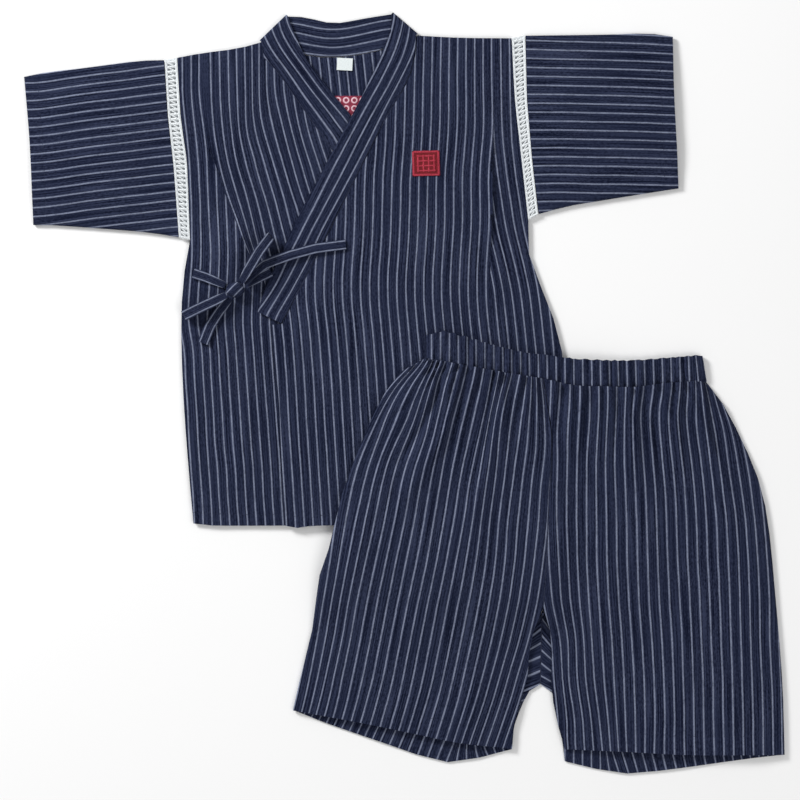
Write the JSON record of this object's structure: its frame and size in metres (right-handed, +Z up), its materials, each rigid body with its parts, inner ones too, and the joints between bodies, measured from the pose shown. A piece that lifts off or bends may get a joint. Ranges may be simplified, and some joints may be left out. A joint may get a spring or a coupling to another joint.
{
  "type": "jinbei set",
  "caption": "Child's wrap jacket with ladder lace at the armholes, tied shut at the side, and elasticated shorts lying over its lower corner, laid out flat.",
  "frame": {"origin": "on the surface that the set lies on, under the middle of its box", "axes": "+Z up off the surface, out of the fronts; +Y towards the jacket's neck; +X towards the wearer's left sleeve"},
  "size_m": [0.684, 0.6846, 0.0234],
  "materials": {
    "striped_cotton": "navy crepe cotton with fine pale stripes 8 mm apart, matt",
    "white_lace": "white cotton ladder lace, matt",
    "white_label": "plain woven white tape, soft satin"
  },
  "bodies": {
    "root": {"jacket_back": "striped_cotton", "front_right": "striped_cotton", "front_left": "striped_cotton", "collar": "striped_cotton", "sleeve_right": "striped_cotton", "sleeve_left": "striped_cotton", "bow_knot": "striped_cotton", "tie_side": "striped_cotton", "tie_front": "striped_cotton", "bow_tail_short": "striped_cotton", "bow_tail_long": "striped_cotton", "bow_loop_lower": "striped_cotton", "bow_loop_upper": "striped_cotton", "leg_right": "striped_cotton", "leg_left": "striped_cotton", "waistband": "striped_cotton", "lace_right_front": "white_lace", "lace_right_back": "white_lace", "lace_left_front": "white_lace", "lace_left_back": "white_lace", "neck_label": "white_label"}
  },
  "joints": []
}
